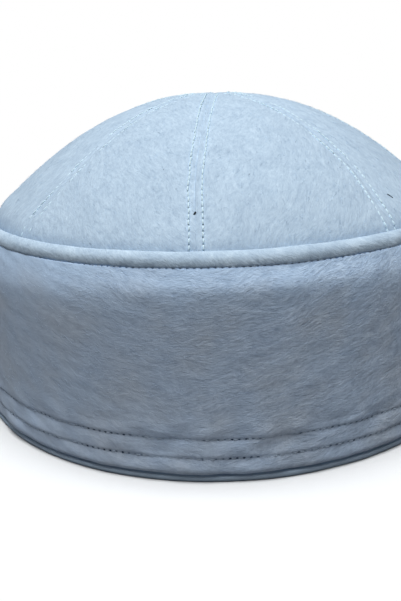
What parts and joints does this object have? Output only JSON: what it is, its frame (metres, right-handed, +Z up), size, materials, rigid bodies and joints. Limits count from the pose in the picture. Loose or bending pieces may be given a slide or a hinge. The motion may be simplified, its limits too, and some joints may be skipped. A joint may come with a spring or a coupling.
{
  "type": "felt prayer cap",
  "caption": "Round felt prayer cap: a low domed crown of topstitched gores, a corded piping round its edge, and a tall plain side band with a stitched hem.",
  "frame": {"origin": "middle of the cap's rim, on the surface that the rim rests on", "axes": "+Z up through the crown's top, -Y towards the front where a crown seam meets the middle of the face, +X to the viewer's right from the front"},
  "size_m": [0.1842, 0.1952, 0.1074],
  "materials": {
    "felt_crown": "pale ice-blue wool felt, brushed nap",
    "felt_piping": "pale ice-blue felt over a cord",
    "felt_side_band": "pale ice-blue wool felt, brushed nap",
    "felt_inner_band": "pale ice-blue wool felt, flat"
  },
  "bodies": {
    "root": {"crown_gore_1": "felt_crown", "crown_gore_2": "felt_crown", "crown_gore_3": "felt_crown", "crown_gore_4": "felt_crown", "crown_gore_5": "felt_crown", "crown_gore_6": "felt_crown", "crown_gore_7": "felt_crown", "crown_gore_8": "felt_crown", "crown_piping": "felt_piping", "side_band": "felt_side_band", "inner_band": "felt_inner_band"}
  },
  "joints": []
}
